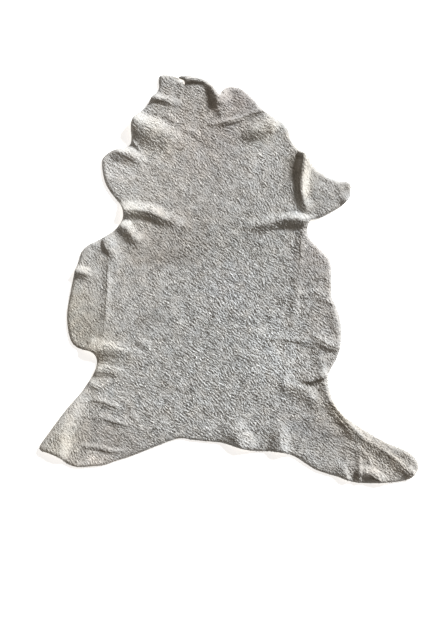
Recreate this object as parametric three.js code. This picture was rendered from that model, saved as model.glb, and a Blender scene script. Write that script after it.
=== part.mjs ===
// A shorn sheepskin lying wool side up on a flat surface: one tanned skin with its own short wool,
// cut round the neck, two fore flaps, belly and two hind legs, with shallow folds along its edges.
// Millimetres, +Z up. The neck points along +Y, the hind legs along -Y. The skin rests on z = 0.
import * as THREE from "three";

// Thickness of the pelt, skin and wool together.
const SKIN_THICK = 1.6;
const WOOL_LONG = 6.4; // over the back
const WOOL_EDGE = 4.4; // where it thins out at the cut edge
const EDGE_BAND = 22; // width of the strip over which it thins
const RIM_INSET = 2.2; // the wool leans back from the cut edge by this much
const SLOPE_GAIN = 1.4; // most a slope may add to the upright thickness

// Spacing of the facets.
const RIM_STEP = 9.5;
const SLIT_STEP = 4;
const FOLD_STEP = 12.5;
const LEAST_GAP = 7; // nearest two points within a face
const FLAT_GAP = 31; // spacing where the skin is flat
const GAP_GROWTH = 0.3; // how fast the spacing opens away from folds and edges

// Landmarks on the cut edge, clockwise seen from above, a table for each stretch of it.
const OUTLINE = {
  neck_left: [
    { x: -183, y: 495 }, { x: -183, y: 516 }, { x: -179, y: 530 }, { x: -143, y: 529 },
    { x: -129, y: 519 }, { x: -116, y: 506 }, { x: -117, y: 516 }, { x: -132, y: 525 },
    { x: -125, y: 530 },
  ],
  neck_right: [
    { x: -78, y: 526 }, { x: -60, y: 519 }, { x: -45, y: 505 }, { x: -23, y: 480 },
    { x: -17, y: 491 }, { x: 0, y: 501 }, { x: 33, y: 495 }, { x: 65, y: 466 },
    { x: 83, y: 446 }, { x: 119, y: 420 }, { x: 140, y: 407 }, { x: 154, y: 388 },
    { x: 161, y: 365 },
  ],
  right_fin: [
    { x: 175, y: 344 }, { x: 209, y: 314 }, { x: 219, y: 295 }, { x: 236, y: 279 },
    { x: 288, y: 255 }, { x: 306, y: 254 }, { x: 317, y: 246 }, { x: 317, y: 230 },
    { x: 315, y: 214 }, { x: 296, y: 193 }, { x: 236, y: 159 }, { x: 209, y: 150 },
  ],
  right_waist: [
    { x: 207, y: 115 }, { x: 239, y: 76 }, { x: 258, y: 59 },
  ],
  right_belly: [
    { x: 266, y: 34 }, { x: 267, y: -13 }, { x: 267, y: -44 }, { x: 276, y: -65 },
    { x: 288, y: -96 }, { x: 293, y: -133 }, { x: 291, y: -172 }, { x: 282, y: -203 },
  ],
  right_flank: [
    { x: 258, y: -255 }, { x: 271, y: -311 }, { x: 289, y: -339 }, { x: 313, y: -363 },
  ],
  right_leg: [
    { x: 343, y: -386 }, { x: 377, y: -407 }, { x: 410, y: -425 }, { x: 467, y: -449 },
    { x: 486, y: -467 }, { x: 494, y: -489 }, { x: 482, y: -511 }, { x: 461, y: -523 },
    { x: 387, y: -531 }, { x: 351, y: -531 }, { x: 319, y: -527 }, { x: 288, y: -516 },
    { x: 226, y: -496 },
  ],
  rump: [
    { x: 171, y: -462 }, { x: 145, y: -453 }, { x: 106, y: -448 }, { x: 70, y: -448 },
    { x: 36, y: -442 }, { x: -19, y: -426 }, { x: -58, y: -422 }, { x: -97, y: -418 },
    { x: -125, y: -414 }, { x: -151, y: -420 }, { x: -185, y: -433 }, { x: -258, y: -462 },
    { x: -294, y: -473 },
  ],
  left_leg: [
    { x: -325, y: -484 }, { x: -362, y: -488 }, { x: -398, y: -489 }, { x: -422, y: -480 },
    { x: -442, y: -464 }, { x: -468, y: -453 }, { x: -491, y: -445 }, { x: -493, y: -437 },
    { x: -466, y: -397 }, { x: -424, y: -340 }, { x: -377, y: -284 },
  ],
  left_flank: [
    { x: -347, y: -233 }, { x: -345, y: -207 }, { x: -355, y: -191 },
  ],
  left_belly: [
    { x: -395, y: -178 }, { x: -411, y: -161 }, { x: -422, y: -101 }, { x: -412, y: -29 },
    { x: -403, y: 13 }, { x: -393, y: 43 }, { x: -384, y: 71 }, { x: -371, y: 86 },
    { x: -328, y: 109 },
  ],
  left_waist: [
    { x: -293, y: 132 }, { x: -280, y: 149 }, { x: -275, y: 170 }, { x: -280, y: 189 },
  ],
  left_ear: [
    { x: -311, y: 230 }, { x: -324, y: 256 }, { x: -330, y: 310 }, { x: -320, y: 325 },
    { x: -300, y: 336 }, { x: -259, y: 349 },
  ],
  left_neck: [
    { x: -254, y: 365 }, { x: -255, y: 391 }, { x: -250, y: 416 }, { x: -212, y: 455 },
    { x: -202, y: 473 },
  ],
};

// Folds, a row each. The crest runs through its rows, rise high; left and right are the widths of
// its flanks, as met going along the crest, and crisp is how sharp the crest is, from 0 to 1.
const FOLDS = [
  { fold: "neck_rim", left: 8, right: 14, crisp: 0.6, crest: [
    { x: -125, y: 513, rise: 3 },
    { x: -104, y: 517, rise: 6.5 },
    { x: -84, y: 518, rise: 6.5 },
    { x: -63, y: 513, rise: 5 },
    { x: -45, y: 497, rise: 2.5 },
  ] },
  { fold: "neck_pleat", left: 42, right: 21, crisp: 0.55, crest: [
    { x: -40, y: 498, rise: 9 },
    { x: -32, y: 473, rise: 14 },
    { x: -28, y: 446, rise: 5 },
  ] },
  { fold: "nape_left", left: 18, right: 14, crisp: 0.55, crest: [
    { x: -208, y: 474, rise: 8 },
    { x: -180, y: 468, rise: 6.5 },
    { x: -137, y: 457, rise: 2.5 },
  ] },
  { fold: "neck_left_fold", left: 35, right: 62, crisp: 0.2, crest: [
    { x: -256, y: 419, rise: 20 },
    { x: -225, y: 399, rise: 17 },
    { x: -185, y: 387, rise: 11 },
    { x: -151, y: 369, rise: 5 },
    { x: -113, y: 343, rise: 1 },
  ] },
  { fold: "ear_left", left: 22, right: 31, crisp: 0.6, crest: [
    { x: -304, y: 348, rise: 4 },
    { x: -282, y: 329, rise: 8.4 },
    { x: -255, y: 322, rise: 7 },
    { x: -229, y: 303, rise: 2 },
  ] },
  { fold: "crop_line", left: 14, right: 10, crisp: 0.8, crest: [
    { x: -41, y: 398, rise: 1.2 },
    { x: 2, y: 409, rise: 6.5 },
    { x: 41, y: 419, rise: 2.7 },
    { x: 69, y: 432, rise: 5.3 },
    { x: 99, y: 442, rise: 3 },
  ] },
  { fold: "nape_hollow", left: 33, right: 29, crisp: 0.35, crest: [
    { x: 29, y: 372, rise: 1.4 },
    { x: 64, y: 381, rise: 8.2 },
    { x: 106, y: 399, rise: 9.1 },
  ] },
  { fold: "fin_fold", left: 25, right: 22, crisp: 0.8, crest: [
    { x: 196, y: 326, rise: 19 },
    { x: 192, y: 296, rise: 18 },
    { x: 188, y: 265, rise: 13 },
    { x: 187, y: 237, rise: 11.5 },
    { x: 191, y: 209, rise: 9.5 },
    { x: 200, y: 183, rise: 5 },
    { x: 204, y: 166, rise: 0 },
  ] },
  { fold: "fin_tip", left: 20, right: 16, crisp: 0.5, crest: [
    { x: 308, y: 200, rise: 6.5 },
    { x: 296, y: 215, rise: 3 },
    { x: 287, y: 239, rise: 1.6 },
  ] },
  { fold: "waist_right_fold", left: 27, right: 23, crisp: 0.5, crest: [
    { x: 208, y: 149, rise: 7 },
    { x: 184, y: 153, rise: 14 },
    { x: 156, y: 154, rise: 14 },
    { x: 124, y: 152, rise: 9.5 },
    { x: 87, y: 142, rise: 8 },
    { x: 35, y: 128, rise: 0 },
  ] },
  { fold: "waist_left_fold", left: 29, right: 28, crisp: 0.65, crest: [
    { x: -279, y: 175, rise: 15.9 },
    { x: -242, y: 178, rise: 12 },
    { x: -206, y: 173, rise: 10.2 },
    { x: -175, y: 160, rise: 9 },
    { x: -124, y: 137, rise: 3.2 },
  ] },
  { fold: "waist_left_low", left: 25, right: 27, crisp: 0.7, crest: [
    { x: -285, y: 142, rise: 9.6 },
    { x: -266, y: 132, rise: 8.8 },
    { x: -250, y: 110, rise: 7.6 },
    { x: -225, y: 95, rise: 1 },
  ] },
  { fold: "belly_left_top", left: 34, right: 13, crisp: 0.2, crest: [
    { x: -320, y: 116, rise: 3 },
    { x: -318, y: 86, rise: 7.3 },
    { x: -304, y: 60, rise: 3.6 },
    { x: -306, y: 27, rise: 1.8 },
  ] },
  { fold: "belly_left_wedge", left: 21, right: 23, crisp: 0.6, crest: [
    { x: -402, y: 21, rise: 11 },
    { x: -380, y: 18, rise: 8 },
    { x: -358, y: 10, rise: 1.5 },
  ] },
  { fold: "flank_left_one", left: 24, right: 33, crisp: 0.5, crest: [
    { x: -370, y: -189, rise: 12 },
    { x: -325, y: -181, rise: 10 },
    { x: -284, y: -186, rise: 5.6 },
    { x: -242, y: -197, rise: 1 },
  ] },
  { fold: "flank_left_two", left: 17, right: 20, crisp: 0.05, crest: [
    { x: -346, y: -238, rise: 5 },
    { x: -315, y: -238, rise: 4.3 },
    { x: -278, y: -242, rise: 1 },
  ] },
  { fold: "leg_left_ridge", left: 28, right: 83, crisp: 0, crest: [
    { x: -372, y: -285, rise: 1 },
    { x: -396, y: -319, rise: 4.4 },
    { x: -412, y: -362, rise: 6.6 },
    { x: -431, y: -407, rise: 9 },
    { x: -447, y: -463, rise: 9 },
  ] },
  { fold: "leg_left_arc_low", left: 23, right: 14, crisp: 0.8, crest: [
    { x: -328, y: -362, rise: 1.5 },
    { x: -297, y: -371, rise: 4.2 },
    { x: -268, y: -379, rise: 2.5 },
  ] },
  { fold: "rump_one", left: 49, right: 47, crisp: 0.4, crest: [
    { x: 17, y: -373, rise: 2 },
    { x: 18, y: -400, rise: 9 },
    { x: 30, y: -434, rise: 10 },
  ] },
  { fold: "rump_two", left: 26, right: 42, crisp: 0.3, crest: [
    { x: 136, y: -363, rise: 1 },
    { x: 134, y: -403, rise: 9 },
    { x: 136, y: -450, rise: 10.5 },
  ] },
  { fold: "belly_right_line", left: 15, right: 21, crisp: 0.25, crest: [
    { x: 191, y: 122, rise: 4.1 },
    { x: 184, y: 44, rise: 1.4 },
    { x: 176, y: -34, rise: 2.7 },
    { x: 164, y: -133, rise: 1 },
    { x: 154, y: -200, rise: 0.4 },
    { x: 147, y: -273, rise: 3.8 },
  ] },
  { fold: "belly_right_cut", left: 33, right: 17, crisp: 0.6, crest: [
    { x: 210, y: -144, rise: 1 },
    { x: 245, y: -168, rise: 7.3 },
    { x: 289, y: -181, rise: 3 },
  ] },
  { fold: "flank_right_cut", left: 33, right: 14, crisp: 0.7, crest: [
    { x: 183, y: -258, rise: 0 },
    { x: 215, y: -264, rise: 7.3 },
    { x: 246, y: -247, rise: 5.3 },
  ] },
  { fold: "flank_right_arc", left: 30, right: 31, crisp: 0.65, crest: [
    { x: 122, y: -288, rise: 0 },
    { x: 174, y: -286, rise: 5.8 },
    { x: 203, y: -298, rise: 5.3 },
    { x: 226, y: -322, rise: 3.7 },
  ] },
  { fold: "leg_right_rim", left: 16, right: 25, crisp: 0.6, crest: [
    { x: 242, y: -252, rise: 3.8 },
    { x: 258, y: -306, rise: 4 },
    { x: 286, y: -348, rise: 6 },
    { x: 319, y: -391, rise: 6.2 },
    { x: 361, y: -423, rise: 5.4 },
    { x: 413, y: -454, rise: 4.2 },
    { x: 455, y: -486, rise: 3.6 },
    { x: 478, y: -504, rise: 4.5 },
  ] },
  { fold: "leg_right_wedge", left: 21, right: 23, crisp: 0.6, crest: [
    { x: 343, y: -503, rise: 8 },
    { x: 361, y: -503, rise: 11 },
    { x: 379, y: -511, rise: 10 },
    { x: 403, y: -528, rise: 5 },
  ] },
  { fold: "leg_right_low", left: 15, right: 27, crisp: 0.35, crest: [
    { x: 283, y: -469, rise: 0 },
    { x: 296, y: -493, rise: 4 },
    { x: 306, y: -522, rise: 6 },
  ] },
  { fold: "leg_right_mid", left: 12, right: 24, crisp: 0.7, crest: [
    { x: 383, y: -439, rise: 0 },
    { x: 418, y: -460, rise: 1.7 },
    { x: 447, y: -487, rise: 2.6 },
    { x: 475, y: -504, rise: 4.5 },
  ] },
  { fold: "belly_left_foot", left: 16, right: 24, crisp: 0.2, crest: [
    { x: -357, y: -169, rise: 5.2 },
    { x: -329, y: -163, rise: 4.1 },
    { x: -306, y: -149, rise: 0 },
  ] },
];

// ---- the cut edge --------------------------------------------------------------------------
const landmarks = Object.values(OUTLINE)
  .flat()
  .map((p) => new THREE.Vector3(p.x, p.y, 0));
const edgeCurve = new THREE.CatmullRomCurve3(landmarks, true, "centripetal");
edgeCurve.arcLengthDivisions = 6000;

// ---- the folds -----------------------------------------------------------------------------
const CREST_PARTS = 16;
const folds = FOLDS.map((f) => {
  const curve = new THREE.CatmullRomCurve3(
    f.crest.map((p) => new THREE.Vector3(p.x, p.y, p.rise)),
    false,
    "centripetal",
  );
  const line = curve.getPoints(CREST_PARTS * (f.crest.length - 1));
  const flanked = new THREE.Box3().setFromPoints(line);
  flanked.expandByScalar(Math.max(f.left, f.right));
  return { ...f, line, flanked };
});

// Nearest point of a crest: how far, on which hand, and how high the crest is there.
function nearest(line, x, y) {
  let best = { far: Infinity, side: 1, rise: 0 };
  for (let i = 0; i + 1 < line.length; i++) {
    const a = line[i],
      b = line[i + 1];
    const ux = b.x - a.x,
      uy = b.y - a.y;
    const t = THREE.MathUtils.clamp(
      ((x - a.x) * ux + (y - a.y) * uy) / (ux * ux + uy * uy),
      0,
      1,
    );
    const dx = x - a.x - ux * t,
      dy = y - a.y - uy * t;
    const far = Math.hypot(dx, dy);
    if (far < best.far)
      best = { far, side: Math.sign(ux * dy - uy * dx) || 1, rise: a.z + (b.z - a.z) * t };
  }
  return best;
}

// Height of the underside over the surface it lies on.
function lift(x, y) {
  let z = 0;
  for (const f of folds) {
    const { min, max } = f.flanked;
    if (x < min.x || x > max.x || y < min.y || y > max.y) continue;
    const n = nearest(f.line, x, y);
    const flank = n.side > 0 ? f.left : f.right;
    if (n.far >= flank) continue;
    const u = n.far / flank;
    const round = 0.5 * (1 + Math.cos(Math.PI * u));
    const peak = 1 - Math.sin((Math.PI * u) / 2);
    z += Math.max(n.rise, 0) * ((1 - f.crisp) * round + f.crisp * peak);
  }
  return z;
}

function slope(x, y) {
  const h = 2;
  return Math.hypot(
    (lift(x + h, y) - lift(x - h, y)) / (2 * h),
    (lift(x, y + h) - lift(x, y - h)) / (2 * h),
  );
}

// ---- points of the sheet -------------------------------------------------------------------
const slit = OUTLINE.neck_left[5];
function rimPoints() {
  const long = edgeCurve.getLength();
  const out = [];
  let at = 0;
  while (at < long - 0.4 * RIM_STEP) {
    const p = edgeCurve.getPointAt(at / long);
    out.push([p.x, p.y]);
    const near = Math.hypot(p.x - slit.x, p.y - slit.y);
    at += THREE.MathUtils.clamp(near / 4, SLIT_STEP, RIM_STEP);
  }
  return out;
}

const edgeLoop = rimPoints();
function inside(x, y) {
  let odd = false;
  for (let i = 0, j = edgeLoop.length - 1; i < edgeLoop.length; j = i++) {
    const [xi, yi] = edgeLoop[i],
      [xj, yj] = edgeLoop[j];
    if (yi > y !== yj > y && x < ((xj - xi) * (y - yi)) / (yj - yi) + xi) odd = !odd;
  }
  return odd;
}
function toEdge(x, y) {
  let best = Infinity;
  for (let i = 0, j = edgeLoop.length - 1; i < edgeLoop.length; j = i++) {
    const [ax, ay] = edgeLoop[j],
      [bx, by] = edgeLoop[i];
    const ux = bx - ax,
      uy = by - ay;
    const t = THREE.MathUtils.clamp(((x - ax) * ux + (y - ay) * uy) / (ux * ux + uy * uy), 0, 1);
    best = Math.min(best, Math.hypot(x - ax - ux * t, y - ay - uy * t));
  }
  return best;
}

// Points are taken in turn, each kept if it is far enough from those already there.
const CELL = 32;
const cells = new Map();
const points = [];
function clear(x, y, gap) {
  const reach = Math.ceil(gap / CELL);
  const cx = Math.floor(x / CELL),
    cy = Math.floor(y / CELL);
  for (let i = cx - reach; i <= cx + reach; i++)
    for (let j = cy - reach; j <= cy + reach; j++)
      for (const p of cells.get(i + "," + j) ?? [])
        if (Math.hypot(points[p][0] - x, points[p][1] - y) < gap) return false;
  return true;
}
function take(x, y) {
  const key = Math.floor(x / CELL) + "," + Math.floor(y / CELL);
  if (!cells.has(key)) cells.set(key, []);
  cells.get(key).push(points.length);
  points.push([x, y]);
}
for (const [x, y] of edgeLoop) take(x, y);

// Rows of points along each fold: its crest, the foot of each flank and, if there is room, half way.
const halfWay = (flank) => (flank > 2 * LEAST_GAP ? [flank / 2] : []);
for (const f of folds)
  for (const out of [0, f.left, ...halfWay(f.left), -f.right, ...halfWay(f.right).map((w) => -w)]) {
    let walked = FOLD_STEP;
    for (let i = 0; i < f.line.length; i++) {
      const a = f.line[Math.max(i - 1, 0)],
        b = f.line[Math.min(i + 1, f.line.length - 1)];
      if (i > 0) walked += Math.hypot(f.line[i].x - a.x, f.line[i].y - a.y);
      if (walked < FOLD_STEP) continue;
      const long = Math.hypot(b.x - a.x, b.y - a.y);
      const x = f.line[i].x - ((b.y - a.y) / long) * out,
        y = f.line[i].y + ((b.x - a.x) / long) * out;
      if (!inside(x, y) || toEdge(x, y) < 0.55 * RIM_STEP || !clear(x, y, LEAST_GAP)) continue;
      take(x, y);
      walked = 0;
    }
  }

// Between folds and edges the points lie on a triangular net that opens out towards the middle.
function gapAt(x, y) {
  let near = toEdge(x, y);
  const reach = FLAT_GAP / GAP_GROWTH;
  for (const f of folds) {
    const { min, max } = f.flanked;
    if (x < min.x - reach || x > max.x + reach || y < min.y - reach || y > max.y + reach) continue;
    const n = nearest(f.line, x, y);
    near = Math.min(near, Math.max(n.far - (n.side > 0 ? f.left : f.right), 0));
  }
  return Math.min(RIM_STEP * 1.15 + GAP_GROWTH * near, FLAT_GAP);
}
const box = new THREE.Box3().setFromPoints(landmarks);
for (const net of [FLAT_GAP, FLAT_GAP / 2, FLAT_GAP / 3])
  for (let row = 0, y = box.min.y; y <= box.max.y; row++, y += net * 0.866)
    for (let x = box.min.x + (row % 2) * net * 0.5; x <= box.max.x; x += net) {
      const px = x + Math.sin(row * 12.9 + x * 0.37) * 0.04 * net,
        py = y + Math.cos(row * 7.7 + x * 0.53) * 0.04 * net;
      if (!inside(px, py)) continue;
      const gap = gapAt(px, py);
      if (toEdge(px, py) < 0.6 * gap || !clear(px, py, 0.86 * gap)) continue;
      take(px, py);
    }

// ---- Delaunay triangles --------------------------------------------------------------------
function circle(a, b, c) {
  const [ax, ay] = points[a],
    [bx, by] = points[b],
    [cx, cy] = points[c];
  const d = 2 * (ax * (by - cy) + bx * (cy - ay) + cx * (ay - by));
  const a2 = ax * ax + ay * ay,
    b2 = bx * bx + by * by,
    c2 = cx * cx + cy * cy;
  const x = (a2 * (by - cy) + b2 * (cy - ay) + c2 * (ay - by)) / d,
    y = (a2 * (cx - bx) + b2 * (ax - cx) + c2 * (bx - ax)) / d;
  return { v: [a, b, c], x, y, r2: (ax - x) ** 2 + (ay - y) ** 2 };
}
const count = points.length;
points.push([-9000, -9000], [9000, -9000], [0, 9000]);
let net = [circle(count, count + 1, count + 2)];
for (let p = 0; p < count; p++) {
  const [x, y] = points[p];
  const open = new Map();
  const kept = [];
  for (const t of net) {
    if ((x - t.x) ** 2 + (y - t.y) ** 2 >= t.r2) {
      kept.push(t);
      continue;
    }
    for (let i = 0; i < 3; i++) {
      const a = t.v[i],
        b = t.v[(i + 1) % 3];
      const back = b + "," + a;
      if (open.has(back)) open.delete(back);
      else open.set(a + "," + b, [a, b]);
    }
  }
  for (const [a, b] of open.values()) kept.push(circle(a, b, p));
  net = kept;
}
points.length = count;
const faces = [];
for (const { v } of net) {
  if (v.some((i) => i >= count)) continue;
  const [a, b, c] = v.map((i) => points[i]);
  if (!inside((a[0] + b[0] + c[0]) / 3, (a[1] + b[1] + c[1]) / 3)) continue;
  const turn = (b[0] - a[0]) * (c[1] - a[1]) - (b[1] - a[1]) * (c[0] - a[0]);
  faces.push(turn > 0 ? v : [v[0], v[2], v[1]]);
}

// Every step of the cut edge must be the side of exactly one triangle, and nothing else may be.
const rimCount = edgeLoop.length;
const sides = new Set();
for (const v of faces) for (let i = 0; i < 3; i++) sides.add(v[i] + "," + v[(i + 1) % 3]);
const rim = [];
for (const s of sides) {
  const [a, b] = s.split(",").map(Number);
  if (sides.has(b + "," + a)) continue;
  if (a >= rimCount || b >= rimCount) throw new Error("the face stops short of the cut edge");
  rim.push([a, b]);
}
if (rim.length !== rimCount) throw new Error("the face doesn't follow the cut edge");

// ---- the solid -----------------------------------------------------------------------------
// The underside first, then the wool side, then the wall of the cut edge between them.
const inset = edgeLoop.map(([x, y], i) => {
  const a = edgeLoop[(i + rimCount - 1) % rimCount],
    b = edgeLoop[(i + 1) % rimCount];
  const long = Math.hypot(b[0] - a[0], b[1] - a[1]);
  // clockwise, so the inside is on the right of the way round
  return [((b[1] - a[1]) / long) * RIM_INSET, (-(b[0] - a[0]) / long) * RIM_INSET];
});
const under = points.map(([x, y]) => [x, y, lift(x, y)]);
const over = points.map(([x, y], i) => {
  const back = i < rimCount ? 0 : Math.min(toEdge(x, y) / EDGE_BAND, 1);
  const wool = WOOL_EDGE + (WOOL_LONG - WOOL_EDGE) * Math.sin((Math.PI / 2) * back);
  const stretch = Math.min(Math.hypot(1, slope(x, y)), SLOPE_GAIN);
  const [ox, oy] = i < rimCount ? inset[i] : [0, 0];
  return [x + ox, y + oy, lift(x, y) + (SKIN_THICK + wool) * stretch];
});
const spot = [...under, ...over];
const shell = [];
for (const [a, b, c] of faces) {
  shell.push([a, c, b]);
  shell.push([a + count, b + count, c + count]);
}
for (const [a, b] of rim) shell.push([a, b, b + count], [a, b + count, a + count]);

const geometry = new THREE.BufferGeometry();
geometry.setAttribute("position", new THREE.Float32BufferAttribute(spot.flat(), 3));
geometry.setIndex(shell.flat());
geometry.computeBoundingBox();
const middle = geometry.boundingBox.getCenter(new THREE.Vector3());
geometry.translate(-middle.x, -middle.y, 0);
geometry.computeVertexNormals();

const sheepskin = new THREE.Mesh(
  geometry,
  new THREE.MeshStandardMaterial({ color: 0xa9a6a0, roughness: 0.95, metalness: 0 }),
);
sheepskin.name = "sheepskin";

const part = new THREE.Group();
part.name = "sheepskin_pelt";
part.add(sheepskin);

export default part;
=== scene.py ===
"""A shorn sheepskin lying wool side up on a pale floor.

The hide is one thin closed sheet on the folds of the solid it stands for, with the flesh side beneath and the
short underwool on top. The wool itself is real geometry: small curled locks, laid over along the nap.
Lengths in the tables are millimetres; the meshes are in metres.
"""
import math

import bpy
import numpy as np
from mathutils.geometry import delaunay_2d_cdt
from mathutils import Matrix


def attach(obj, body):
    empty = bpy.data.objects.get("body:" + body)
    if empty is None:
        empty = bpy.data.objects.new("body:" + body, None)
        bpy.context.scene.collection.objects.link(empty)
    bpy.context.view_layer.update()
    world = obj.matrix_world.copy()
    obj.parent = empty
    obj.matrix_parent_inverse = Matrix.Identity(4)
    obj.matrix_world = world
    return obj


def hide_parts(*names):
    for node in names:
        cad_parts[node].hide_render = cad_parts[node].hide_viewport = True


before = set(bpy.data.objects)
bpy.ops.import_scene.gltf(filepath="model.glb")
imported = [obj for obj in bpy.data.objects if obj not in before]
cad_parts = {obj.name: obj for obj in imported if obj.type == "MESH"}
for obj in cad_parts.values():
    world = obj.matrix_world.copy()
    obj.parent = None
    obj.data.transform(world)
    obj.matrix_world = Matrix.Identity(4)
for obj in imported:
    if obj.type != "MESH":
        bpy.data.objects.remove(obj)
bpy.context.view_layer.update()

MM = 0.001
rng = np.random.default_rng(20261125)

# ---- sizes ---------------------------------------------------------------------------------
SKIN = 1.6  # tanned skin
UNDERWOOL = 5.0  # dense wool close to the skin, which the locks stand in
UNDERWOOL_EDGE = 1.4
EDGE_BAND = 9.0
RIM_INSET = 1.6
SLOPE_GAIN = 1.4

FACE_GAP = 3.6  # spacing of the wool side's points
FLESH_GAP = 8.0  # spacing of the flesh side's points
RIM_STEP = 3.4

LOCK_GAP = 3.6  # spacing of the locks' roots
LOCK_LONG = 8.2
LOCK_WIDE = 2.3
LOCK_TALL = 1.0
LOCK_RISE = 0.55
WOOL_PIECES = 5

LOCK_STRAY = 0.28
LOCK_ROLL = 18
LOCK_TONE = 0.09
RELIEF_WORMS = 0.40
RELIEF_FINE = 0.12
RELIEF_LUMPS = 0.05
RELIEF_RIPPLES = 0.12
RELIEF_SWELLS = 0.25

# ---- colours and light ---------------------------------------------------------------------
WOOL_RGB = (0.428, 0.425, 0.421)
SKIN_RGB = (0.66, 0.60, 0.50)
FLOOR_RGB = (0.93, 0.93, 0.935)
FLOOR_GLOW = 0.7
UNDERWOOL_TONE = 0.86
ROOT_TONE = 0.78
TIP_TONE = 1.05
KEY = 45, 22, 12, 9.3, (0.975, 0.99, 1.0)
SKY, SKY_RGB = 0.282, (1.0, 0.89, 0.77)

# ---- the cut edge: landmarks round the hide, in stretches ------------------------------------
OUTLINE = {
    "neck_left": [(-183, 495), (-183, 516), (-179, 530), (-143, 529), (-129, 519), (-116, 506),
        (-117, 516), (-132, 525), (-125, 530)],
    "neck_right": [(-78, 526), (-60, 519), (-45, 505), (-23, 480), (-17, 491), (0, 501),
        (33, 495), (65, 466), (83, 446), (119, 420), (140, 407), (154, 388), (161, 365)],
    "right_fin": [(175, 344), (209, 314), (219, 295), (236, 279), (288, 255), (306, 254),
        (317, 246), (317, 230), (315, 214), (296, 193), (236, 159), (209, 150)],
    "right_waist": [(207, 115), (239, 76), (258, 59)],
    "right_belly": [(266, 34), (267, -13), (267, -44), (276, -65), (288, -96), (293, -133),
        (291, -172), (282, -203)],
    "right_flank": [(258, -255), (271, -311), (289, -339), (313, -363)],
    "right_leg": [(343, -386), (377, -407), (410, -425), (467, -449), (486, -467), (494, -489),
        (482, -511), (461, -523), (387, -531), (351, -531), (319, -527), (288, -516),
        (226, -496)],
    "rump": [(171, -462), (145, -453), (106, -448), (70, -448), (36, -442), (-19, -426),
        (-58, -422), (-97, -418), (-125, -414), (-151, -420), (-185, -433), (-258, -462),
        (-294, -473)],
    "left_leg": [(-325, -484), (-362, -488), (-398, -489), (-422, -480), (-442, -464),
        (-468, -453), (-491, -445), (-493, -437), (-466, -397), (-424, -340), (-377, -284)],
    "left_flank": [(-347, -233), (-345, -207), (-355, -191)],
    "left_belly": [(-395, -178), (-411, -161), (-422, -101), (-412, -29), (-403, 13),
        (-393, 43), (-384, 71), (-371, 86), (-328, 109)],
    "left_waist": [(-293, 132), (-280, 149), (-275, 170), (-280, 189)],
    "left_ear": [(-311, 230), (-324, 256), (-330, 310), (-320, 325), (-300, 336), (-259, 349)],
    "left_neck": [(-254, 365), (-255, 391), (-250, 416), (-212, 455), (-202, 473)],
}

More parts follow.
